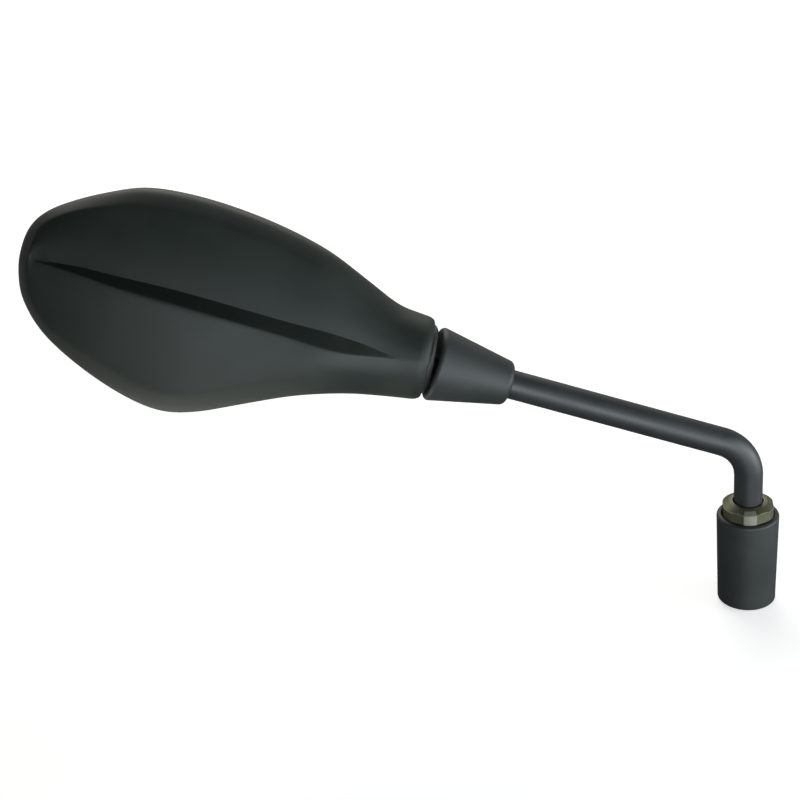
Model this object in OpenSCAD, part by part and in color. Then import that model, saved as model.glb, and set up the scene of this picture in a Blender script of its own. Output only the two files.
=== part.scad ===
// Motorcycle mirror, right hand: bent rod arm, friction ball joint and a moulded head with convex glass.
// Origin on the stem axis at the upper end of the free thread, under the lock nut.
// +Z runs up the stem, the arm leans towards -X and the glass looks towards +Y.

/* [Arm] */
// Diameter of the rod
rod_d = 12; // [10:0.5:14]
// Elevation of the upper arm above the horizontal, in degrees
arm_angle = 22.2; // [15:0.5:35]
// Height at which the arm axis meets the stem axis
arm_z = 39; // [36:1:60]
// Radius of the bend along the rod's centre line
bend_r = 18.6; // [16:0.2:22]
// Distance along the arm from that meeting point to the ball centre
ball_reach = 158; // [120:1:200]
// Diameter of the turned spigot that carries the ball
spigot_d = 8; // [7:0.5:9]

/* [Stem thread] */
// Nominal diameter of the thread
thread_d = 10; // [8:1:10]
// Length of the free thread under the lock nut
thread_free = 29; // [20:1:30]
// Length of the lead chamfer at the thread's end
thread_lead = 1; // [0.5:0.1:2]
// Pitch of the thread
thread_pitch = 1.25; // [1:0.25:1.5]

/* [Lock nut] */
// Height of the nut
nut_h = 14; // [10:0.5:18]
// Diameter over the turned corner lands
nut_corner_d = 21.8; // [20:0.2:24]
// Width across the flats
nut_flats = 20.9; // [19:0.1:21]
// Radial width of the chamfer round the top
nut_chamfer_w = 3; // [1:0.1:3.5]
// Height of that chamfer
nut_chamfer_h = 1.8; // [0.5:0.1:3]
// Turn of the flats about the stem axis, in degrees
nut_turn = 22; // [0:1:59]
// Depth of the counterbore that takes the rod's shoulder
nut_counterbore = 5.6; // [3:0.1:7]

/* [Nut cover] */
// Length of the cover from its lower mouth to its rim
cover_h = 41; // [36:1:50]
// Height of the rim above the nut's lower face
cover_rim_z = 6.7; // [4:0.1:9]
// Wall at the lower mouth
cover_wall = 1.25; // [1:0.05:2.5]
// How much further the rim stands out than the lower mouth
cover_flare = 0.75; // [0.2:0.05:2]
// Height of the rounded lip over the rim
cover_lip_h = 1.3; // [0.6:0.1:2]
// Radius of the edge at the lower mouth
cover_edge_r = 0.6; // [0.2:0.1:0.9]

/* [Cone sleeve] */
// Length of the sleeve along the arm, without its dished end
cone_l = 33; // [26:1:45]
// Outer diameter of the small end
cone_small_d = 18.8; // [17:0.1:22]
// Outer diameter of the large end
cone_big_d = 30.3; // [29.6:0.1:32]
// Edge radius of the small end
cone_small_r = 2.6; // [1:0.1:3]
// Edge radius of the large end
cone_big_r = 1.8; // [1:0.1:1.9]

/* [Ball joint] */
// Diameter of the ball
ball_d = 18; // [17:0.5:19]
// Radius of the spherical end of the socket tube
lip_sphere_r = 21.7; // [21:0.1:23]
// Gap between that end and the dished end of the cone sleeve
lip_gap = 0.9; // [0.5:0.1:1.5]
// Thickness of the lip where the arm leaves the socket
lip_wall = 1.5; // [1:0.1:2]
// How far the lip stands out over the socket tube
lip_step = 1.2; // [0.8:0.1:1.5]
// Wall of the socket tube
tube_wall = 1.6; // [1.2:0.1:1.8]
// Wall of the seats where they are thinnest
seat_wall = 0.8; // [0.6:0.1:1]
// Width of the rear seat from its rim to its bore
seat_land = 2.2; // [1.8:0.1:2.4]
// Thickness of the liner between ball and seats
liner_t = 1; // [0.8:0.1:1.2]
// Thickness of each disc spring
disc_t = 1; // [0.8:0.1:1.2]
// Height of the cone of each disc spring
disc_rise = 0.6; // [0.4:0.1:0.7]
// Number of disc springs
disc_count = 3; // [1:1:3]
// Length of the adjusting ring
ring_t = 3.2; // [2.6:0.1:3.6]
// Droop of the neck axis under the head's long axis, in degrees
neck_droop = 4.3; // [0:0.1:6]
// Angle of the neck axis towards the glass side, in degrees
neck_toe = 5.8; // [0:0.1:7]

/* [Housing] */
// Tilt of the back panel upwards from the vertical, in degrees
head_tilt = 20; // [0:1:30]
// Outer diameter of the neck
neck_d = 34.6; // [33:0.2:38]
// Radial width of the rounding at the neck end
neck_edge_r = 2.5; // [1:0.1:3.2]
// Length of that rounding along the neck
neck_edge_l = 3.8; // [3.4:0.1:4.4]
// Distance from the ball centre to the neck end
neck_end = 16; // [15:0.1:16.4]
// Wall thickness
wall = 2.4; // [2:0.1:3]
// Height of the rim over the ball centre at the glass centre
rim_h = 15; // [14:0.1:18]
// Thickness of the rim round the glass
rim_t = 1.8; // [1.4:0.1:2.4]
// Depth of the glass seat behind the rim
seat_depth = 5.6; // [5.4:0.1:7]
// Width of the glass seat
seat_w = 1.7; // [1.2:0.1:2.4]
// Draft of the side walls from the rim to the shoulder
side_draft = 0.8; // [0.2:0.1:2]
// Width of the shoulder along the top
shoulder_top = 8.4; // [6:0.2:10]
// Width of the shoulder along the bottom
shoulder_bottom = 9; // [6:0.2:11]
// Width of the shoulder round the tip
shoulder_tip = 4; // [3.6:0.2:6]
// Depth of the shoulder
shoulder_depth = 8.5; // [6:0.5:10]
// Slope of the upper panel away from the crease
upper_slope = 0.18; // [0.05:0.01:0.2]
// Slope of the lower panel away from the crease
lower_slope = 0.2; // [0.05:0.01:0.22]
// Crown of the upper panel
upper_crown = 1.3; // [0:0.1:1.5]
// Crown of the lower panel
lower_crown = 0.6; // [0:0.1:1.5]
// Height of the step along the crease where it is widest
step_h = 3.6; // [1:0.1:4]
// Width of the step where it is widest
step_w = 5.6; // [3:0.1:7]

/* [Glass] */
// Radius of curvature of the convex glass
glass_r = 1200; // [1000:50:1600]
// Thickness of the glass
glass_t = 2.2; // [1.8:0.1:2.4]
// Depth of the glass face behind the rim
glass_inset = 0.6; // [0.3:0.1:0.8]
// Gap between the glass edge and the rim
glass_gap = 0.4; // [0.2:0.1:0.8]
// Thickness of the foam pad
foam_t = 0.8; // [0.5:0.1:0.9]
// Thickness of the backing plate
plate_t = 1.6; // [1.2:0.1:1.7]

/* [Hidden] */
$fn = 64;
// Gaps in pressed fits, in stacks, in sliding fits, round the ball, between the glass layers and at shoulders
fit_gap = 0.05;
seat_gap = 0.2;
slide_gap = 0.25;
ball_gap = 0.15;
layer_gap = 0.1;
shoulder_gap = 0.5;

rod_r = rod_d / 2;
spigot_r = spigot_d / 2;
ball_r = ball_d / 2;
core_r = thread_d / 2 - 0.325 * thread_pitch;
nut_z = 0.2;
shoulder_z = nut_z + nut_h - nut_counterbore + shoulder_gap;
rod_end = ball_reach - lip_sphere_r - lip_gap - shoulder_gap;
spigot_tail = 1.6;
spigot_end = ball_r + spigot_tail;
cover_bore_r = nut_corner_d / 2 + slide_gap;

liner_in_r = ball_r + ball_gap;
liner_out_r = liner_in_r + liner_t;
seat_r = liner_out_r + ball_gap;
insert_r = seat_r + seat_wall;
tube_bore_r = insert_r + fit_gap;
tube_r = tube_bore_r + tube_wall;
lip_r = tube_r + lip_step;
lip_mouth_r = lip_r - lip_wall;
lip_l = 3;
lip_back = neck_end - lip_l;
mouth_angle = 58;
front_seat_end = 8.2;
mouth_seat_r = seat_r * sin(mouth_angle);
mouth_seat_at = -seat_r * cos(mouth_angle);
mouth_end_at = -on_sphere(lip_sphere_r, lip_mouth_r);
ball_centre = [-ball_reach * cos(arm_angle), 0, arm_z + ball_reach * sin(arm_angle)];

// Rear seat, washer, disc springs and ring, as distances along the neck axis from the ball centre
rear_bore_r = seat_r - seat_land;
cup_floor = 1.8;
cup_end = on_sphere(seat_r, rear_bore_r) + cup_floor;
washer_t = 0.8;
washer_at = cup_end + seat_gap;
disc_pitch = disc_t + disc_rise + seat_gap;
disc_at = washer_at + washer_t + seat_gap;
ring_at = disc_at + disc_count * disc_pitch;
tube_end = ring_at + ring_t;

foam_at = glass_inset + glass_t + layer_gap;
plate_at = seat_depth - seat_gap - plate_t;

neck_r = neck_d / 2;
neck_gap = 0.5;
neck_start = -neck_end + neck_edge_l + 0.4;
neck_axis = [cos(neck_toe) * cos(neck_droop), -cos(neck_toe) * sin(neck_droop), sin(neck_toe)];
neck_up = [sin(neck_droop), cos(neck_droop), 0];
neck_out = [-sin(neck_toe) * cos(neck_droop), sin(neck_toe) * sin(neck_droop), cos(neck_toe)];
function axis_height(x) = x * neck_axis[1] / neck_axis[0];
function neck_side(side) = [neck_start, axis_height(neck_start) + side * neck_r * neck_up[1]];

// Outline of the rim in the head's own plane, from the neck along the bottom, round the tip and back
OUTLINE = [
    neck_side(-1), [0, -18.4], [15, -21.4], [33, -27.3], [52, -36.1], [68, -43.5],
    [82, -46.8], [98, -44.6], [117, -38], [134, -29], [144.6, -18.3], [148.9, -8.3],
    [150.2, 1],
    [149.3, 9.7], [145.4, 16.8], [137.4, 23.4], [125, 30.6], [110, 37.1], [92, 39.4],
    [72, 39.1], [52, 36.8], [33, 32.6], [15, 25.7], [0, 19.6], neck_side(1)
];
// Profile of the shoulder from the side wall to the panel, as shares of its width and of its depth
SHOULDER = [[0, 0], [0.06, 0.24], [0.22, 0.45], [0.58, 0.74], [0.89, 0.95], [1, 1]];
// Places along the head, with the height of the crease, its level and its share of the full step
CREASE_Z = [
    [-16, -17.3], [0, -17.2], [30, -17.6], [75, -17.8], [110, -16], [130, -13.2], [146, -9.8], [151, -8.6]
];
CREASE_Y = [[-4, -2.8], [8, -2.7], [30, -2.8], [75, -2.2], [110, -1.8], [126, -1.1], [146, -1.4]];
CREASE_STEP = [[-5, 0], [8, 1.2], [20, 1.25], [42, 1], [76, 1], [100, 0.9], [122, 0.6], [146, 0]];
crease_bend = 110;
shoulder_narrows = 95;
crease_min = 0.25;
glass_mid = [84, -4];
per_span = 4;
tip_row = 12 * per_span;
rows = 2 * tip_row;
crease_tip = OUTLINE[12][0] - side_draft - shoulder_tip - 0.7;

// Angles round the neck of the rings from rim to crease, measured from the back
RING_PHI = [108, 97, 86, 76, 66, 56, 47, 38, 26, 14, 1.5];
crease_turn = 4;
function ring_phi(ring, side) = RING_PHI[ring] - side * crease_turn * (1 - RING_PHI[ring] / RING_PHI[0]);
last_ring = len(RING_PHI) - 1;
edge_steps = 3;
edge_rows = edge_steps + 1;
last_row = rows + 2 * edge_rows;
mid_row = last_row / 2;
neck_blend_end = 32;

// Front of the neck, up to the row where the glass opening starts
glass_row = 14;
front_rows = glass_row + edge_rows;
front_cols = 10;
glass_bulge = 14;
front_top = tube_end * sin(neck_toe) + (tube_r + neck_gap) * cos(neck_toe) + wall;
front_fall = tube_end - 1;
dome_r = glass_r + glass_inset;

function lerp(a, b, t) = a + (b - a) * t;
function smooth(t) = t <= 0 ? 0 : t >= 1 ? 1 : t * t * (3 - 2 * t);
function on_sphere(r, x) = sqrt(r * r - x * x);
function arc(r, from, to, steps, centre) =
    [for (i = [0:steps]) centre + r * [cos(lerp(from, to, i / steps)), sin(lerp(from, to, i / steps))]];

module along_arm(distance) {
    translate([-distance * cos(arm_angle), 0, arm_z + distance * sin(arm_angle)])
        rotate([0, arm_angle - 90, 0])
            children();
}

module at_head() {
    translate(ball_centre)
        rotate([0, 180 + arm_angle, 0])
            rotate([head_tilt - 90, 0, 0])
                children();
}

module on_neck(distance) {
    at_head()
        rotate([0, -neck_toe, -neck_droop])
            rotate([0, 90, 0])
                translate([0, 0, distance])
                    children();
}

// Stud, stem, bend, arm and the spigot for the ball, in one turned and bent rod
module arm_rod() {
    turn = 90 - arm_angle;
    tangent = bend_r * tan(turn / 2);
    // The bend is a hair fuller than the straight parts that run into it, so that all join in one solid
    swell = 0.03;
    lap = 0.5;
    color([0.13, 0.14, 0.15]) {
        translate([0, 0, -thread_free - thread_lead])
            cylinder(r1 = thread_d / 2 - thread_lead, r2 = thread_d / 2, h = thread_lead);
        translate([0, 0, -thread_free])
            cylinder(r = thread_d / 2, h = thread_free);
        cylinder(r = core_r, h = shoulder_z);
        translate([0, 0, shoulder_z])
            cylinder(r = rod_r, h = arm_z - tangent - shoulder_z + lap);
        translate([-bend_r, 0, arm_z - tangent])
            rotate([90, 0, 0])
                rotate_extrude(angle = turn)
                    translate([bend_r, 0])
                        circle(r = rod_r + swell);
        along_arm(tangent - lap)
            cylinder(r = rod_r, h = rod_end - tangent + lap);
        along_arm(rod_end - lap)
            cylinder(r = spigot_r, h = ball_reach + spigot_end - rod_end + lap);
    }
}

// Ball on the spigot, with flats where the shank enters and the circlip bears
module pivot_ball() {
    flat = ball_r - 1;
    color([0.45, 0.45, 0.43])
        along_arm(ball_reach)
            difference() {
                intersection() {
                    sphere(r = ball_r);
                    translate([0, 0, -flat])
                        cylinder(r = ball_r + 1, h = 2 * flat);
                }
                translate([0, 0, -ball_r])
                    cylinder(r = spigot_r + fit_gap, h = 2 * ball_r);
            }
}

module ball_circlip() {
    clip_t = 0.8;
    color([0.3, 0.3, 0.32])
        along_arm(ball_reach + ball_r - 1 + seat_gap / 2)
            difference() {
                cylinder(r = spigot_r + 1.2, h = clip_t);
                translate([0, 0, -1])
                    cylinder(r = spigot_r + fit_gap, h = clip_t + 2);
                translate([0, -1, -1])
                    cube([spigot_r + 2, 2, clip_t + 2]);
            }
}

// Tapered sleeve on the rod; its large end is dished round the ball centre
module cone_sleeve() {
    big_r = cone_big_d / 2;
    small_r = cone_small_d / 2;
    bore_r = rod_r + fit_gap;
    dish_r = lip_sphere_r + lip_gap;
    big_end = -on_sphere(dish_r, big_r - cone_big_r);
    small_end = big_end - cone_l;
    small_edge_r = min(cone_small_r, small_r - bore_r - 0.3);
    lean = atan((big_r - small_r) / cone_l);
    color([0.14, 0.15, 0.15])
        along_arm(ball_reach)
            difference() {
                rotate_extrude()
                    polygon(concat(
                        [[bore_r, big_end], [bore_r, small_end]],
                        arc(small_edge_r, -90, -lean, 6, [small_r - small_edge_r, small_end + small_edge_r]),
                        arc(cone_big_r, -lean, 90, 6, [big_r - cone_big_r, big_end - cone_big_r])
                    ));
                sphere(r = dish_r);
            }
}

// Six flats cut from a turned blank, with a counterbore for the rod's shoulder
module lock_nut() {
    corner_r = nut_corner_d / 2;
    land = 0.6;
    color([0.45, 0.44, 0.34])
        translate([0, 0, nut_z])
            difference() {
                intersection() {
                    rotate_extrude()
                        polygon([
                            [0, 0], [corner_r - land, 0], [corner_r, land], [corner_r, nut_h - nut_chamfer_h],
                            [corner_r - nut_chamfer_w, nut_h], [0, nut_h]
                        ]);
                    rotate(nut_turn)
                        linear_extrude(nut_h)
                            circle(r = nut_flats / 2 / cos(30), $fn = 6);
                }
                translate([0, 0, -1])
                    cylinder(r = core_r + fit_gap, h = nut_h);
                translate([0, 0, nut_h - nut_counterbore])
                    cylinder(r = rod_r + 0.6, h = nut_counterbore + 1);
            }
}

// Sleeve that hides the nut and slides up the stem to reach it
module nut_cover() {
    mouth_r = cover_bore_r + cover_wall;
    rim_r = mouth_r + cover_flare;
    base = cover_rim_z - cover_h;
    lip_w = rim_r - cover_bore_r - 0.35;
    lip_steps = 8;
    color([0.13, 0.14, 0.15])
        rotate_extrude()
            polygon(concat(
                [[cover_bore_r, base]],
                arc(cover_edge_r, -90, 0, 6, [mouth_r - cover_edge_r, base + cover_edge_r]),
                [for (i = [0:lip_steps]) let (a = 90 * i / lip_steps)
                    [rim_r - lip_w * (1 - cos(a)), cover_rim_z + cover_lip_h * sin(a)]],
                [[cover_bore_r, cover_rim_z + cover_lip_h - 0.15]]
            ));
}

// Smooth curve through a table of places and values
function span_of(table, x, i = 0) = i >= len(table) - 2 || x < table[i + 1][0] ? i : span_of(table, x, i + 1);
function slope_of(table, i) =
    let (a = table[max(i - 1, 0)], b = table[min(i + 1, len(table) - 1)])
    (b[1] - a[1]) / (b[0] - a[0]);
function curve(table, x) =
    let (
        i = span_of(table, x),
        h = table[i + 1][0] - table[i][0],
        u = min(max((x - table[i][0]) / h, 0), 1)
    )
    table[i][1] * (1 - u) * (1 - u) * (1 + 2 * u) + table[i + 1][1] * u * u * (3 - 2 * u)
    + h * u * (1 - u) * (slope_of(table, i) * (1 - u) - slope_of(table, i + 1) * u);

// Point and inward direction on the outline at a row
function outline_knot(i) =
    i < 0 ? 2 * OUTLINE[0] - OUTLINE[1] :
    i >= len(OUTLINE) ? 2 * OUTLINE[len(OUTLINE) - 1] - OUTLINE[len(OUTLINE) - 2] : OUTLINE[i];
function outline_at(row) =
    let (
        i = min(floor(row / per_span), len(OUTLINE) - 2),
        u = row / per_span - i,
        a = outline_knot(i - 1),
        b = outline_knot(i),
        c = outline_knot(i + 1),
        d = outline_knot(i + 2)
    )
    b + u / 2 * (c - a + u * (2 * a - 5 * b + 4 * c - d + u * (3 * b - a - 3 * c + d)));
function left_of(v) = [-v[1], v[0]] / norm(v);
function inward_at(row) = left_of(outline_at(min(row + 0.1, rows)) - outline_at(max(row - 0.1, 0)));
function rim_z(p) = rim_h + on_sphere(dome_r, norm(p - glass_mid)) - dome_r;

// Crease edge for a row: side is -1 under the crease and 1 above it
function crease_x(x) =
    x <= crease_bend ? x :
    lerp(crease_bend, crease_tip, (x - crease_bend) / (OUTLINE[12][0] - crease_bend));
function crease_point(row, side) =
    let (
        x = crease_x(outline_at(row)[0]),
        share = max(curve(CREASE_STEP, x), 0),
        half = row == tip_row ? 0 : max(step_w * share, crease_min) / 2,
        drop = side < 0 && row != tip_row ? step_h * share : 0
    )
    [x, curve(CREASE_Y, x) + side * half, curve(CREASE_Z, x) - drop];

// Section of the head at a row, ring by ring from rim to crease; inset is 0, or the wall for the inner skin
function section_point(row, ring, side, inset) =
    let (
        p = outline_at(row),
        n = inward_at(row),
        narrowing = smooth((p[0] - shoulder_narrows) / (crease_tip - shoulder_narrows)),
        width = lerp(n[1] > 0 ? shoulder_bottom : shoulder_top, shoulder_tip, narrowing),
        edge = crease_point(row, side),
        bevel = p + n * (side_draft + width),
        slope = side < 0 ? lower_slope : upper_slope,
        crown = side < 0 ? lower_crown : upper_crown,
        bevel_z = edge[2] + slope * norm(bevel - [edge[0], edge[1]]),
        wall_z = bevel_z + shoulder_depth,
        share = SHOULDER[min(max(ring - 2, 0), 5)],
        t = (ring - 7) / 3,
        rim_in = inset > 0 ? rim_t + seat_w : 0,
        rim_top = rim_z(p + n * rim_in) - (inset > 0 ? seat_depth : 0),
        across = ring < 3 ? lerp(rim_in, side_draft + inset, ring / 2) :
            side_draft + inset + (width - inset) * share[0],
        up = ring < 3 ? lerp(rim_top, wall_z, ring / 2) :
            wall_z - (shoulder_depth - inset) * share[1],
        flat = lerp(bevel, [edge[0], edge[1]], t),
        flat_z = lerp(bevel_z, edge[2], t) - crown * 4 * t * (1 - t) + inset
    )
    ring <= 7 ? [(p + n * across)[0], (p + n * across)[1], up] : [flat[0], flat[1], flat_z];

// Point on a round section about the neck axis; phi runs from the back over the given side
function neck_point(along, r, phi, side, stretch = 1) =
    along * neck_axis + r * (stretch * side * sin(phi) * neck_up - cos(phi) * neck_out);

// How much wider than the neck the outline is at a row, on the side that phi lies on
function stretch_at(row, side) =
    let (p = outline_at(side < 0 ? min(row, rows - row) : max(row, rows - row)))
    side * (p[1] - axis_height(p[0])) / (neck_r * neck_up[1]);

// Radius and place along the neck axis of the rounded end, and of the stepped bore inside it
function edge_width() = min(neck_edge_r, neck_r - lip_r - neck_gap - 0.3);
function end_station(step, inset) =
    inset == 0 ? [
        neck_r - edge_width() * (1 - sin(90 * step / edge_steps)),
        -neck_end + neck_edge_l * (1 - cos(90 * step / edge_steps))
    ] : [
        (step < edge_steps ? lip_r : tube_r) + neck_gap,
        step == 0 ? -neck_end : step == 1 ? -neck_end + 1 : -lip_back + seat_gap
    ];
function neck_radius(inset) = inset == 0 ? neck_r : tube_r + neck_gap;
function blend_at(x) = smooth((x - neck_start) / (neck_blend_end - neck_start));

function shell_point(line, ring, inset) =
    let (
        side = line < mid_row ? -1 : 1,
        step = min(line, last_row - line),
        row = line - edge_rows,
        x = outline_at(min(max(row, 0), rows))[0],
        station = end_station(step, inset)
    )
    step < edge_rows ? neck_point(station[1], station[0], ring_phi(ring, side), side) :
    lerp(
        neck_point(x, neck_radius(inset), ring_phi(ring, side), side, stretch_at(row, side)),
        section_point(row, ring, side, inset),
        blend_at(x)
    );

// Plan of the neck's front between its lower and upper side, up to the glass opening
function front_plan(row, col) =
    let (s = 2 * col / front_cols - 1)
    lerp(outline_at(row), outline_at(rows - row), (s + 1) / 2)
    - [glass_bulge * (1 - s * s) * pow(row / glass_row, 2), 0];

// Edge of the glass opening: round the head first, then back along the neck's front
side_points = rows - 2 * glass_row + 1;
opening_points = side_points + front_cols - 1;
function opening_point(i) =
    let (j = (i + opening_points) % opening_points)
    j < side_points ? outline_at(glass_row + j) : front_plan(glass_row, front_cols - 1 - (j - side_points));
function opening_inset(i, distance) =
    opening_point(i) + distance * left_of(opening_point(i + 1) - opening_point(i - 1));
function on_dome(p, depth) = [p[0], p[1], rim_z(p) - depth];

function front_point(line, col, inset) =
    let (
        s = 2 * col / front_cols - 1,
        row = max(line - edge_rows, 0),
        x = outline_at(row)[0],
        p = front_plan(row, col),
        fall_end = outline_at(glass_row)[0] - glass_bulge,
        fallen = smooth((p[0] - front_fall) / (fall_end - front_fall)),
        rise = (front_top - rim_z(p)) * (1 - s * s) * (1 - fallen),
        thick = inset == 0 ? 0 : lerp(wall, seat_depth, max(pow(s, 4), pow(row / glass_row, 8))),
        phi = lerp(-RING_PHI[0], RING_PHI[0] - 360, col / front_cols),
        station = end_station(line, inset),
        round_part = neck_point(x, neck_radius(inset), phi, 1, stretch_at(row, s < 0 ? -1 : 1))
    )
    line < edge_rows ? neck_point(station[1], station[0], phi, 1) :
    inset > 0 && row == glass_row ? on_dome(opening_inset(opening_points - col, rim_t + seat_w), seat_depth) :
    lerp(round_part, on_dome(p, thick - rise), blend_at(x));

// Index of each point within one skin, outer or inner
rings = last_ring + 1;
skin_size = (last_row + 1) * rings + (front_rows + 1) * (front_cols - 1);
function at_grid(line, ring) = line * rings + ring;
function at_front(line, col) =
    col == 0 ? at_grid(line, 0) :
    col == front_cols ? at_grid(last_row - line, 0) :
    (last_row + 1) * rings + line * (front_cols - 1) + col - 1;
function skin_points(inset) = concat(
    [for (line = [0:last_row]) for (ring = [0:last_ring]) shell_point(line, ring, inset)],
    [for (line = [0:front_rows]) for (col = [1:front_cols - 1]) front_point(line, col, inset)]
);
function skin_quads() = concat(
    [for (line = [0:last_row - 1]) for (ring = [0:last_ring - 1])
        [at_grid(line, ring), at_grid(line + 1, ring), at_grid(line + 1, ring + 1), at_grid(line, ring + 1)]],
    [for (line = [0:mid_row - 1])
        [at_grid(line, last_ring), at_grid(line + 1, last_ring),
            at_grid(last_row - line - 1, last_ring), at_grid(last_row - line, last_ring)]],
    [for (line = [0:front_rows - 1]) for (col = [0:front_cols - 1])
        [at_front(line + 1, col), at_front(line, col), at_front(line, col + 1), at_front(line + 1, col + 1)]]
);

// Rings of points where the outer and the inner skin meet
function end_ring() = concat(
    [for (ring = [0:last_ring]) at_grid(0, ring)],
    [for (ring = [last_ring:-1:0]) at_grid(last_row, ring)],
    [for (col = [front_cols - 1:-1:1]) at_front(0, col)]
);
function opening_ring() = concat(
    [for (line = [front_rows:last_row - front_rows]) at_grid(line, 0)],
    [for (col = [front_cols - 1:-1:1]) at_front(front_rows, col)]
);
function band(a, b) =
    [for (i = [0:len(a) - 1]) let (j = (i + 1) % len(a)) [a[i], a[j], b[j], b[i]]];
function moved(list, by) = [for (v = list) v + by];
function reversed(quads) = [for (q = quads) [q[3], q[2], q[1], q[0]]];
function as_triangles(quads) =
    [for (q = quads) each q[1] == q[2] ? [[q[0], q[1], q[3]]] : [[q[0], q[1], q[2]], [q[0], q[2], q[3]]]];

// Moulded shell: outer and inner skin, joined round the neck end and over the glass seat
module housing() {
    seat_top = [for (i = [0:opening_points - 1]) on_dome(opening_inset(i, rim_t), 0)];
    seat_foot = [for (i = [0:opening_points - 1]) on_dome(opening_inset(i, rim_t), seat_depth)];
    top_ring = [for (i = [0:opening_points - 1]) 2 * skin_size + i];
    foot_ring = moved(top_ring, opening_points);
    color([0.17, 0.18, 0.18])
        at_head()
            polyhedron(
                points = concat(skin_points(0), skin_points(wall), seat_top, seat_foot),
                faces = concat(
                    as_triangles(skin_quads()),
                    [for (t = as_triangles(skin_quads())) [t[2], t[1], t[0]] + skin_size * [1, 1, 1]],
                    as_triangles(band(end_ring(), moved(end_ring(), skin_size))),
                    as_triangles(reversed(band(opening_ring(), top_ring))),
                    as_triangles(reversed(band(top_ring, foot_ring))),
                    as_triangles(reversed(band(foot_ring, moved(opening_ring(), skin_size))))
                )
            );
}

// Layer of the glass unit at a depth behind the rim, bounded by spheres
module glass_layer(depth, thick) {
    at_head()
        intersection() {
            translate([0, 0, rim_h - 14])
                linear_extrude(16)
                    polygon([for (i = [0:opening_points - 1]) opening_inset(i, rim_t + glass_gap)]);
            translate([glass_mid[0], glass_mid[1], rim_h - dome_r])
                rotate([90, 0, 0])
                    difference() {
                        sphere(r = dome_r - depth, $fn = 720);
                        sphere(r = dome_r - depth - thick, $fn = 720);
                    }
        }
}

module mirror_glass() {
    color([0.72, 0.75, 0.78])
        glass_layer(glass_inset, glass_t);
}

module foam_pad() {
    color([0.3, 0.3, 0.3])
        glass_layer(foam_at, foam_t);
}

module backing_plate() {
    color([0.2, 0.2, 0.2])
        glass_layer(plate_at, plate_t);
}

// Ring that keeps dirt out of the socket, on the spigot
module dust_ring() {
    height = 2;
    color([0.06, 0.06, 0.06])
        along_arm(ball_reach - ball_r - height - 1.6)
            difference() {
                cylinder(r = spigot_r + 1.4, h = height);
                translate([0, 0, -1])
                    cylinder(r = spigot_r + fit_gap, h = height + 2);
            }
}

module ball_liner() {
    low = -liner_out_r * cos(60);
    high = -liner_out_r * cos(124);
    color([0.85, 0.85, 0.8])
        on_neck(low)
            difference() {
                intersection() {
                    translate([0, 0, -low])
                        sphere(r = liner_out_r);
                    cylinder(r = liner_out_r + 1, h = high - low);
                }
                translate([0, 0, -low])
                    sphere(r = liner_in_r);
            }
}

// Flared mouth of the socket, from the front seat's rim to the lip
function mouth_r(at) = lerp(mouth_seat_r, lip_mouth_r, (at - mouth_seat_at) / (mouth_end_at - mouth_seat_at));

// Tube pressed into the neck; its lip ends in a sphere round the ball centre
module socket_tube() {
    lip_from = asin(lip_mouth_r / lip_sphere_r);
    lip_to = asin(lip_r / lip_sphere_r);
    color([0.2, 0.21, 0.21])
        on_neck(0)
            rotate_extrude()
                polygon(concat(
                    arc(lip_sphere_r, lip_from - 90, lip_to - 90, 5, [0, 0]),
                    [[lip_r, -lip_back], [tube_r, -lip_back], [tube_r, tube_end], [tube_bore_r, tube_end]],
                    [[tube_bore_r, -front_seat_end], [mouth_r(-front_seat_end), -front_seat_end]]
                ));
}

module front_seat() {
    start = -front_seat_end + fit_gap;
    color([0.62, 0.62, 0.58])
        on_neck(0)
            difference() {
                translate([0, 0, start])
                    cylinder(r = insert_r, h = -start - 0.3);
                sphere(r = seat_r);
                translate([0, 0, start - 0.01])
                    cylinder(r1 = mouth_r(start - 0.01), r2 = mouth_seat_r, h = mouth_seat_at - start + 0.01);
            }
}

// Seat behind the ball, pressed on it by the springs
module pressure_cup() {
    color([0.62, 0.62, 0.58])
        on_neck(0)
            difference() {
                translate([0, 0, 0.3])
                    cylinder(r = insert_r, h = cup_end - 0.3);
                sphere(r = seat_r);
                translate([0, 0, 1])
                    cylinder(r = rear_bore_r, h = cup_end);
            }
}

module thrust_washer() {
    color([0.5, 0.5, 0.5])
        on_neck(washer_at)
            difference() {
                cylinder(r = insert_r, h = washer_t);
                translate([0, 0, -1])
                    cylinder(r = rear_bore_r + 0.2, h = washer_t + 2);
            }
}

// Disc springs, laid alternately with the hollow side up and down
module disc_springs() {
    outer = insert_r - 0.1;
    inner = rear_bore_r + 0.2;
    color([0.4, 0.4, 0.42])
        for (i = [0:disc_count - 1])
            on_neck(disc_at + i * disc_pitch)
                rotate_extrude()
                    polygon(i % 2 == 0 ?
                        [[outer, 0], [outer, disc_t], [inner, disc_t + disc_rise], [inner, disc_rise]] :
                        [[outer, disc_rise], [outer, disc_rise + disc_t], [inner, disc_t], [inner, 0]]);
}

// Ring that sets the friction, with two slots for a spanner
module adjust_ring() {
    slot_w = 3;
    slot_depth = 1.6;
    color([0.45, 0.45, 0.43])
        on_neck(ring_at)
            difference() {
                cylinder(r = insert_r, h = ring_t);
                translate([0, 0, -1])
                    cylinder(r = rear_bore_r - 1, h = ring_t + 2);
                translate([-insert_r - 1, -slot_w / 2, ring_t - slot_depth])
                    cube([2 * insert_r + 2, slot_w, slot_depth + 1]);
            }
}

arm_rod();
pivot_ball();
ball_circlip();
cone_sleeve();
lock_nut();
nut_cover();
dust_ring();
ball_liner();
socket_tube();
front_seat();
pressure_cup();
thrust_washer();
disc_springs();
adjust_ring();
housing();
backing_plate();
foam_pad();
mirror_glass();
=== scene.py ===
"""Looks of the motorcycle mirror: camera, studio, finishes and the small forms that the solids leave out."""

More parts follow.
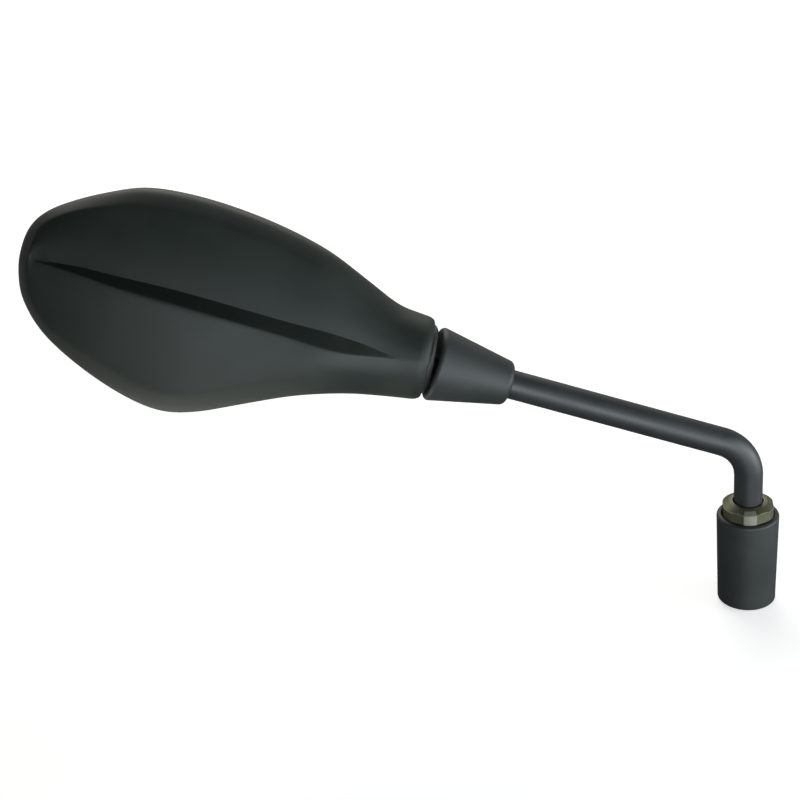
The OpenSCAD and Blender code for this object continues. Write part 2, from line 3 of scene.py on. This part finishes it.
import math

import bmesh
import bpy
from mathutils import Matrix, Vector


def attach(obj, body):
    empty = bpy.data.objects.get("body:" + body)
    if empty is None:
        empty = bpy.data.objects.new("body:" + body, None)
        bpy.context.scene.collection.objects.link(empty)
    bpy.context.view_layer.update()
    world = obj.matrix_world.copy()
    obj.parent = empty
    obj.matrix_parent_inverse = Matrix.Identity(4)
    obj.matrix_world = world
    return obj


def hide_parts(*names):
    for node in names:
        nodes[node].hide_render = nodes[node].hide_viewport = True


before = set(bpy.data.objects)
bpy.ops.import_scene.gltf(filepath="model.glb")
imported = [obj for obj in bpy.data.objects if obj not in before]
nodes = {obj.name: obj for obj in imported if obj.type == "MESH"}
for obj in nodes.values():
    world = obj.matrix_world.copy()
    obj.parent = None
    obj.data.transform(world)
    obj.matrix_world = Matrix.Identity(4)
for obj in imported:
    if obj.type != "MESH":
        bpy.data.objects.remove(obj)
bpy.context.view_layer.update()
scene = bpy.context.scene
scene.view_settings.view_transform = "Standard"
MM = 0.001

# Ball centre, the head's long axis, its upward axis and the direction that the glass looks in
BALL = Vector((-0.146287, 0.0, 0.098699))
ALONG = Vector((-0.92587, 0.0, 0.37784))
UPWARD = Vector((0.35505, 0.34202, 0.87003))
GLASSWARD = Vector((-0.12923, 0.93969, -0.31667))


class Wiring:
    """Short ways to add nodes to a tree and to join them."""

    def __init__(self, tree):
        self.tree = tree

    def node(self, kind):
        return self.tree.nodes.new(kind)

    def feed(self, socket, value):
        """Joins an output to a socket, or writes a plain number, vector or colour on it."""
        if isinstance(value, bpy.types.NodeSocket):
            self.tree.links.new(value, socket)
        else:
            socket.default_value = value

    def position(self):
        return self.node("ShaderNodeTexCoord").outputs["Object"]

    def axes(self, vector):
        parts = self.node("ShaderNodeSeparateXYZ")
        self.feed(parts.inputs[0], vector)
        return parts.outputs

    def arithmetic(self, operation, *values):
        node = self.node("ShaderNodeMath")
        node.operation = operation
        for socket, value in zip(node.inputs, values):
            self.feed(socket, value)
        return node.outputs[0]

    def vector_arithmetic(self, operation, *values):
        node = self.node("ShaderNodeVectorMath")
        node.operation = operation
        for socket, value in zip(node.inputs, values):
            self.feed(socket, value)
        return node.outputs["Value" if operation in ("DOT_PRODUCT", "LENGTH") else "Vector"]

    def noise(self, place, scale, detail, roughness=0.5):
        node = self.node("ShaderNodeTexNoise")
        self.feed(node.inputs["Vector"], place)
        self.feed(node.inputs["Scale"], scale)
        self.feed(node.inputs["Detail"], detail)
        self.feed(node.inputs["Roughness"], roughness)
        return node.outputs["Fac"]

    def ramp(self, value, start, end, low=0.0, high=1.0, smooth=False):
        """Low up to start, high from end on, and rising or falling in between."""
        node = self.node("ShaderNodeMapRange")
        if smooth:
            node.interpolation_type = "SMOOTHSTEP"
        self.feed(node.inputs["Value"], value)
        for label, number in zip(("From Min", "From Max", "To Min", "To Max"), (start, end, low, high)):
            self.feed(node.inputs[label], number)
        return node.outputs["Result"]

    def mix(self, mask, low, high):
        """Two numbers mixed by a mask, or two colours where high is a tuple of red, green and blue."""
        node = self.node("ShaderNodeMix")
        coloured = isinstance(high, tuple)
        if coloured:
            node.data_type = "RGBA"
            high = (*high, 1)
            low = (*low, 1) if isinstance(low, tuple) else low
        first = 6 if coloured else 2
        self.feed(node.inputs[0], mask)
        self.feed(node.inputs[first], low)
        self.feed(node.inputs[first + 1], high)
        return node.outputs[2 if coloured else 0]


def effect(name, inputs, outputs):
    """An empty shader group with numbers going in, given as (name, usual value), and numbers coming out."""
    group = bpy.data.node_groups.new(name, "ShaderNodeTree")
    for label, value in inputs:
        socket = group.interface.new_socket(label, in_out="INPUT", socket_type="NodeSocketFloat")
        socket.default_value = value
    for label in outputs:
        group.interface.new_socket(label, in_out="OUTPUT", socket_type="NodeSocketFloat")
    return group, group.nodes.new("NodeGroupInput"), group.nodes.new("NodeGroupOutput")


def moulded_grain():
    """Fine pebbles of a moulded or powder-coated surface, of a size in mm, and larger patches of tone."""
    patches_per_metre = 55
    group, given, result = effect("moulded grain", [("Size", 0.35), ("Mottle", 0.5)], ["Height", "Mottle"])
    grain = Wiring(group)
    place = grain.position()
    pebbles_per_metre = grain.arithmetic("DIVIDE", 1 / MM, given.outputs["Size"])
    pebbles = grain.noise(place, pebbles_per_metre, 2, 0.55)
    patches = grain.ramp(grain.noise(place, patches_per_metre, 4), 0.35, 0.65)
    grain.feed(result.inputs["Height"], pebbles)
    grain.feed(result.inputs["Mottle"], grain.arithmetic("MULTIPLY", patches, given.outputs["Mottle"]))
    return group


def worn_edges():
    """Mask along the sharp edges, over a radius in mm, broken up by fine scratches."""
    scratches_per_metre, edge_gain, softness = 900, 6, 0.35
    group, given, result = effect("worn edges", [("Radius", 0.4), ("Threshold", 0.5)], ["Mask"])
    wear = Wiring(group)
    rounded = wear.node("ShaderNodeBevel")
    rounded.samples = 6
    wear.feed(rounded.inputs["Radius"], wear.arithmetic("MULTIPLY", given.outputs["Radius"], MM))
    surface = wear.node("ShaderNodeNewGeometry")
    turned = wear.vector_arithmetic("DOT_PRODUCT", rounded.outputs["Normal"], surface.outputs["Normal"])
    edge = wear.arithmetic("SUBTRACT", 1, turned)
    scratches = wear.noise(wear.position(), scratches_per_metre, 5)
    level = wear.arithmetic("MULTIPLY_ADD", edge, edge_gain, scratches)
    start = given.outputs["Threshold"]
    mask = wear.ramp(level, start, wear.arithmetic("ADD", start, softness))
    wear.feed(result.inputs["Mask"], mask)
    return group


GRAIN = moulded_grain()
WORN = worn_edges()


class Finish(Wiring):
    """A material with one Principled shader."""

    def __init__(self, name, roughness, metallic=0.0, **sockets):
        self.material = bpy.data.materials.new(name)
        self.material.use_nodes = True
        super().__init__(self.material.node_tree)
        self.shader = self.tree.nodes["Principled BSDF"]
        self.shade("Roughness", roughness)
        self.shade("Metallic", metallic)
        for label, value in sockets.items():
            self.shade(label.replace("_", " "), value)

    def shade(self, label, value):
        self.feed(self.shader.inputs[label], value)

    def use(self, group, **values):
        """Outputs of one of the shared effects, with this finish's own values."""
        node = self.node("ShaderNodeGroup")
        node.node_tree = group
        for label, value in values.items():
            node.inputs[label].default_value = value
        return node.outputs

    def bump(self, height, depth, strength):
        """Relief of a depth in mm."""
        bump = self.node("ShaderNodeBump")
        bump.inputs["Distance"].default_value = depth * MM
        bump.inputs["Strength"].default_value = strength
        self.feed(bump.inputs["Height"], height)
        self.shade("Normal", bump.outputs["Normal"])


def grained(name, dark, light, roughness, pebble, depth, strength, **sockets):
    """Plastic, rubber, foam or paint with pebbles of a size and depth in mm, uneven in colour and gloss."""
    finish = Finish(name, roughness[0], **sockets)
    grain = finish.use(GRAIN, Size=pebble, Mottle=1.0)
    finish.shade("Base Color", finish.mix(grain["Mottle"], dark, light))
    finish.shade("Roughness", finish.mix(grain["Mottle"], *roughness))
    finish.bump(grain["Height"], depth, strength)
    return finish


def paint_shade_on_ledge(finish):
    """Paints shade on the ledge of the step across the head's back where it faces up: a darker colour and a weaker
    reflection than the panels.
    """
    # painted shade: where the ledge faces up it gets a darker colour and a lower specular level
    ledge_painted_shade = (0.003, 0.005, 0.0033)
    ledge_gloss, panel_gloss = 0.2, 0.5
    share_at_neck, full_at = 0.2, 85 * MM
    surface = finish.node("ShaderNodeTexCoord").outputs

    def along(axis, label):
        return finish.vector_arithmetic("DOT_PRODUCT", surface[label], axis)

    level, neck = BALL.dot(UPWARD), BALL.dot(ALONG)
    faces_up = finish.ramp(along(UPWARD, "Normal"), 0.12, 0.42, smooth=True)
    above_step = finish.ramp(along(UPWARD, "Object"), level + 4 * MM, level + 7 * MM, smooth=True)
    outward = finish.ramp(along(ALONG, "Object"), neck, neck + full_at, low=share_at_neck)
    share = finish.arithmetic("MULTIPLY", finish.arithmetic("SUBTRACT", 1, above_step), outward)
    ledge = finish.arithmetic("MULTIPLY", faces_up, share)
    panels = finish.shader.inputs["Base Color"].links[0].from_socket
    finish.shade("Specular IOR Level", finish.mix(ledge, panel_gloss, ledge_gloss))
    finish.shade("Base Color", finish.mix(ledge, panels, ledge_painted_shade))


def painted_highlight_corner(finish, heading):
    """Mask of the turned corner that faces the front lights, where a highlight is painted; heading is its
    direction from the Z axis.
    """
    flat = finish.vector_arithmetic("MULTIPLY", finish.position(), (1, 1, 0))
    direction = finish.vector_arithmetic("NORMALIZE", flat)
    facing = finish.vector_arithmetic("DOT_PRODUCT", direction, (*heading, 0))
    corner = finish.ramp(facing, 0.962, 0.972, high=0.6)
    radius = finish.vector_arithmetic("LENGTH", flat)
    outside = finish.ramp(radius, 8.6 * MM, 9.0 * MM)
    return finish.arithmetic("MULTIPLY", corner, outside)


def plated(name, body, worn, roughness, metallic=0.9, highlight_heading=None):
    """Plated or passivated steel, uneven in colour and with wear bright along its edges; given a heading, one
    turned corner also gets a painted highlight in that bright colour.
    """
    finish = Finish(name, roughness, metallic)
    grain = finish.use(GRAIN, Size=0.5, Mottle=1.0)
    bright = finish.use(WORN, Radius=0.5, Threshold=0.62)["Mask"]
    # the wear along the edges is real; the corner is a painted highlight in the same colour
    if highlight_heading:
        bright = finish.arithmetic("MAXIMUM", bright, painted_highlight_corner(finish, highlight_heading))
    finish.shade("Base Color", finish.mix(bright, finish.mix(grain["Mottle"], *body), worn))
    finish.shade("Roughness", finish.mix(grain["Mottle"], roughness, roughness + 0.12))
    finish.bump(grain["Height"], depth=0.02, strength=0.4)
    return finish


def silvered_glass():
    """Convex mirror glass: a near-perfect reflector with a faint haze of dust."""
    finish = Finish("silvered glass", roughness=0.02, metallic=1.0)
    dust = finish.use(GRAIN, Size=2.5, Mottle=1.0)["Mottle"]
    finish.shade("Base Color", finish.mix(dust, (0.80, 0.83, 0.84), (0.84, 0.86, 0.87)))
    finish.shade("Roughness", finish.mix(dust, 0.012, 0.04))
    return finish


head_black = grained(
    "head black",
    dark=(0.0065, 0.0110, 0.0085), light=(0.0090, 0.0140, 0.0110), roughness=(0.56, 0.62),
    pebble=0.32, depth=0.05, strength=0.5,
)
# painted shade on the up-facing ledge of the step
paint_shade_on_ledge(head_black)
rod_black = grained(
    "rod satin black",
    dark=(0.009, 0.011, 0.012), light=(0.012, 0.014, 0.016), roughness=(0.50, 0.56),
    pebble=0.7, depth=0.02, strength=0.35, Specular_IOR_Level=0.7,
)
sleeve_black = grained(
    "sleeve black",
    dark=(0.013, 0.016, 0.016), light=(0.017, 0.020, 0.020), roughness=(0.54, 0.60),
    pebble=0.4, depth=0.03, strength=0.4, Specular_IOR_Level=0.6,
)
cover_black = grained(
    "cover black",
    dark=(0.011, 0.014, 0.014), light=(0.015, 0.018, 0.018), roughness=(0.54, 0.60),
    pebble=0.45, depth=0.03, strength=0.4, Specular_IOR_Level=0.6,
)
socket_black = grained(
    "socket black",
    dark=(0.008, 0.009, 0.009), light=(0.012, 0.013, 0.013), roughness=(0.5, 0.56),
    pebble=0.5, depth=0.02, strength=0.3,
)
seal_rubber = grained(
    "seal rubber",
    dark=(0.015, 0.015, 0.015), light=(0.022, 0.022, 0.022), roughness=(0.6, 0.7),
    pebble=0.5, depth=0.02, strength=0.3,
)
foam_grey = grained(
    "foam grey",
    dark=(0.03, 0.03, 0.03), light=(0.06, 0.06, 0.06), roughness=(0.85, 0.95),
    pebble=0.9, depth=0.2, strength=0.8,
)
plate_black = grained(
    "plate black",
    dark=(0.03, 0.03, 0.03), light=(0.04, 0.04, 0.04), roughness=(0.45, 0.5),
    pebble=0.6, depth=0.02, strength=0.3,
)
liner_nylon = grained(
    "liner nylon",
    dark=(0.72, 0.71, 0.66), light=(0.78, 0.77, 0.72), roughness=(0.3, 0.36),
    pebble=0.8, depth=0.01, strength=0.2,
)
# the nut's corner towards the front lights gets a painted highlight in the worn colour
nut_olive = plated(
    "nut olive",
    body=((0.078, 0.077, 0.043), (0.145, 0.14, 0.088)), worn=(0.44, 0.43, 0.37),
    roughness=0.4, metallic=0.6, highlight_heading=(-0.139, -0.99),
)
bright_steel = plated(
    "bright steel", body=((0.5, 0.5, 0.49), (0.6, 0.6, 0.58)), worn=(0.75, 0.75, 0.73), roughness=0.28
)
spring_black = plated(
    "spring black", body=((0.06, 0.06, 0.07), (0.1, 0.1, 0.11)), worn=(0.35, 0.35, 0.36), roughness=0.4
)

DRESSED = (
    ("arm_rod", rod_black),
    ("lock_nut", nut_olive),
    ("nut_cover", cover_black),
    ("cone_sleeve", sleeve_black),
    ("pivot_ball", bright_steel),
    ("ball_circlip", spring_black),
    ("dust_ring", seal_rubber),
    ("ball_liner", liner_nylon),
    ("socket_tube", socket_black),
    ("front_seat", bright_steel),
    ("pressure_cup", bright_steel),
    ("thrust_washer", bright_steel),
    ("disc_springs", spring_black),
    ("adjust_ring", bright_steel),
    ("housing", head_black),
    ("backing_plate", plate_black),
    ("foam_pad", foam_grey),
    ("mirror_glass", silvered_glass()),
)
for node, finish in DRESSED:
    mesh = nodes[node].data
    mesh.materials.clear()
    mesh.materials.append(finish.material)


def piece(name, bm, finish, body):
    """A new piece from a mesh in the making, riding on a body."""
    mesh = bpy.data.meshes.new(name)
    bm.to_mesh(mesh)
    bm.free()
    obj = bpy.data.objects.new(name, mesh)
    scene.collection.objects.link(obj)
    mesh.materials.append(finish.material)
    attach(obj, body)
    return obj


def from_ball(point, axis):
    """How far a point lies from the ball's centre along an axis, in mm."""
    return (point - BALL).dot(axis) / MM


# Where the step across the back of the head can lie, in mm from the ball, and the least angle of its edges
STEP_STARTS = -8
STEP_LOWEST, STEP_HIGHEST = -9, 3
STEP_ANGLE = math.radians(12)
# How much higher the step runs in the photograph than on the solid, in mm, and where that tapers off
STEP_RAISED = 1.35
RAISED_FROM, RAISED_FULLY_FROM = -4, 12
RAISED_FULLY_TO, RAISED_TO = 90, 140


def on_step(edge):
    """Whether an edge runs along the step that crosses the back of the head."""
    if len(edge.link_faces) != 2 or edge.calc_face_angle(0) < STEP_ANGLE:
        return False
    start, end = (vert.co for vert in edge.verts)
    middle = (start + end) / 2
    return (
        all(face.normal.dot(GLASSWARD) < -0.6 for face in edge.link_faces)
        and abs((start - end).normalized().dot(ALONG)) > 0.9
        and STEP_LOWEST < from_ball(middle, UPWARD) < STEP_HIGHEST
        and from_ball(middle, ALONG) > STEP_STARTS
    )


def join_facets(bm):
    """Joins the solid's triangles into larger faces, and the crowded points where the step ends at the tip."""
    bmesh.ops.remove_doubles(bm, verts=bm.verts, dist=0.002 * MM)
    bmesh.ops.join_triangles(
        bm, faces=bm.faces, angle_face_threshold=math.radians(30), angle_shape_threshold=math.radians(80)
    )
    step_end = [
        vert for vert in bm.verts
        if from_ball(vert.co, ALONG) > 141.5
        and abs(from_ball(vert.co, UPWARD)) < 9
        and from_ball(vert.co, GLASSWARD) < 0
    ]
    bmesh.ops.remove_doubles(bm, verts=step_end, dist=0.9 * MM)
    bm.normal_update()


def raise_step(bm):
    """Raises the step's line, less and less towards its two ends."""
    for vert in {vert for edge in bm.edges if on_step(edge) for vert in edge.verts}:
        reach = from_ball(vert.co, ALONG)
        start = (reach - RAISED_FROM) / (RAISED_FULLY_FROM - RAISED_FROM)
        end = (RAISED_TO - reach) / (RAISED_TO - RAISED_FULLY_TO)
        vert.co += UPWARD * STEP_RAISED * MM * min(max(start, 0), 1) * min(max(end, 0), 1)
    bm.normal_update()


def soften_lip(bm):
    """Rounds the outer edge of the step."""
    lip = [
        edge for edge in bm.edges
        if on_step(edge) and edge.is_convex and edge.calc_face_angle() > math.radians(17)
    ]
    bmesh.ops.bevel(
        bm, geom=lip, offset=14, offset_type="PERCENT", segments=3, profile=0.5, affect="EDGES", clamp_overlap=True
    )
    bm.normal_update()


def keep_sharp(bm):
    """Keeps the rims and the step's inner edge sharp when the rest is rounded."""
    crease = bm.edges.layers.float.new("crease_edge")
    for face in bm.faces:
        face.smooth = True
    for edge in bm.edges:
        point = edge.verts[0].co
        if from_ball(point, ALONG) > 139 and from_ball(point, GLASSWARD) < 0:
            continue
        if edge.calc_face_angle(0) > math.radians(34) or (on_step(edge) and not edge.is_convex):
            edge.smooth = False
            edge[crease] = 0.9


def head_shell():
    """The moulded head: its facets rounded into smooth surfaces, with a soft lip along the step."""
    bm = bmesh.new()
    bm.from_mesh(nodes["housing"].data)
    join_facets(bm)
    raise_step(bm)
    soften_lip(bm)
    keep_sharp(bm)
    shell = piece("head_shell", bm, head_black, "head")
    rounding = shell.modifiers.new("rounding", "SUBSURF")
    rounding.levels = rounding.render_levels = 1
    return shell


head = head_shell()
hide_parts("housing")


def stud_thread():
    """Helical ridge of the free thread, laid on the plain stud. Lengths are in mm."""
    stud_radius, pitch = 5.0, 1.25
    crest, foot = stud_radius + 0.03, stud_radius - 0.02
    crest_half, foot_half = 0.06, 0.16
    lowest, highest = -29.0, -0.4
    steps = 36
    bm = bmesh.new()
    previous = None
    for i in range(int((highest - lowest) / pitch * steps) + 1):
        angle = 2 * math.pi * i / steps
        across, deep = math.cos(angle), math.sin(angle)
        height = lowest + pitch * i / steps
        profile = (
            (crest, height + crest_half),
            (crest, height - crest_half),
            (foot, height - foot_half),
            (foot, height + foot_half),
        )
        ring = [bm.verts.new((r * MM * across, r * MM * deep, z * MM)) for r, z in profile]
        if previous:
            for j in range(4):
                bm.faces.new((previous[j], previous[(j + 1) % 4], ring[(j + 1) % 4], ring[j]))
        previous = ring
    return piece("stud_thread", bm, rod_black, "base")


stud_thread()

# The cover's lower edge stands a millimetre above the floor
FLOOR_Z = -0.0353


def floor_white():
    """Shaded white floor, plain white to the camera from some way off.

    To reflections it is black with a faint glow, and brighter behind the head.
    """
    glow_near, glow_far = 0.62, 1.0
    glow_beside, glow_behind = 0.10, 0.5
    finish = Finish("floor white", roughness=0.9, Specular_IOR_Level=0.1, Emission_Color=(1, 1, 1, 1))
    rays = finish.node("ShaderNodeLightPath").outputs
    finish.shade("Base Color", finish.mix(rays["Is Glossy Ray"], (0.8, 0.8, 0.8), (0, 0, 0)))
    place = finish.position()
    axes = finish.axes(place)
    away = finish.vector_arithmetic("LENGTH", place)
    seen = finish.ramp(away, 0.5, 1.6, glow_near, glow_far, smooth=True)
    left = finish.ramp(axes["X"], -0.15, -0.11, 1, 0, smooth=True)
    behind = finish.ramp(axes["Y"], 0.02, 0.07, smooth=True)
    patch = finish.arithmetic("MULTIPLY", left, behind)
    mirrored = finish.ramp(patch, 0, 1, glow_beside, glow_behind, smooth=True)
    seen = finish.arithmetic("MULTIPLY", rays["Is Camera Ray"], seen)
    mirrored = finish.arithmetic("MULTIPLY", rays["Is Glossy Ray"], mirrored)
    finish.shade("Emission Strength", finish.arithmetic("ADD", seen, mirrored))
    return finish


def floor():
    bpy.ops.mesh.primitive_plane_add(size=12, location=(0, 0, FLOOR_Z))
    plane = bpy.context.object
    plane.name = "floor"
    plane.data.materials.append(floor_white().material)


def sky():
    """White to the camera; as light, a bright backdrop behind the object and a dim room in front of it."""
    room_front, room_back = 0.03, 0.42
    world = bpy.data.worlds.new("studio")
    world.use_nodes = True
    scene.world = world
    studio = Wiring(world.node_tree)
    axes = studio.axes(studio.node("ShaderNodeTexCoord").outputs["Generated"])
    room = studio.ramp(axes["Y"], 0.0, 0.6, room_front, room_back, smooth=True)
    seen = studio.node("ShaderNodeLightPath").outputs["Is Camera Ray"]
    back = world.node_tree.nodes["Background"]
    back.inputs["Color"].default_value = (1, 1, 1, 1)
    studio.feed(back.inputs["Strength"], studio.mix(seen, room, 1.0))


WARM = (1.0, 0.985, 0.90)
COOL = (0.89, 0.97, 1.0)
LOW_AIM = (-0.13, 0, 0.06)


def softbox(name, place, aim, width, height, power, colour):
    """Rectangular soft light, seen only by what it lights."""
    data = bpy.data.lights.new(name, "AREA")
    data.shape = "RECTANGLE"
    data.size = width
    data.size_y = height
    data.energy = power
    data.color = colour
    box = bpy.data.objects.new(name, data)
    box.location = place
    box.rotation_euler = (Vector(aim) - Vector(place)).to_track_quat("-Z", "Y").to_euler()
    box.visible_camera = False
    scene.collection.objects.link(box)


def photo_camera():
    """The camera that the photograph was taken with: place, azimuth, elevation and roll in degrees."""
    place = (-0.13491, -0.54090, 0.34190)
    azimuth, elevation, roll = (math.radians(angle) for angle in (0.94, 26.14, -5.58))
    forward = Vector((
        -math.sin(azimuth) * math.cos(elevation),
        math.cos(azimuth) * math.cos(elevation),
        -math.sin(elevation),
    ))
    level = Vector((math.cos(azimuth), math.sin(azimuth), 0))
    upright = level.cross(forward)
    right = level * math.cos(roll) + upright * math.sin(roll)
    up = upright * math.cos(roll) - level * math.sin(roll)
    data = bpy.data.cameras.new("photo_camera")
    data.lens = 66.17
    data.sensor_width = 36
    data.clip_start = 0.01
    camera = bpy.data.objects.new("photo_camera", data)
    rows = [(right[i], up[i], -forward[i], place[i]) for i in range(3)]
    camera.matrix_world = Matrix((*rows, (0, 0, 0, 1)))
    scene.collection.objects.link(camera)
    scene.camera = camera


floor()
sky()
softbox("under_head", (-0.29, -0.06, FLOOR_Z + MM), (-0.29, -0.06, 1), 0.18, 0.14, 0.2, WARM)
softbox("behind_above", (-0.15, 1.0, 0.9), (-0.13, 0, 0.1), 1.2, 0.5, 7.2, WARM)
softbox("front", (0.009, -0.788, 0.05), LOW_AIM, 0.5, 0.15, 4.2, COOL)
softbox("front_right", (0.384, -0.613, 0.05), LOW_AIM, 0.5, 0.15, 1.6, COOL)
softbox("right", (0.643, -0.207, 0.05), LOW_AIM, 0.5, 0.15, 3.6, COOL)
softbox("right_above", (0.932, -0.285, 0.2), (-0.13, 0, 0.08), 0.6, 0.4, 1.9, COOL)
photo_camera()
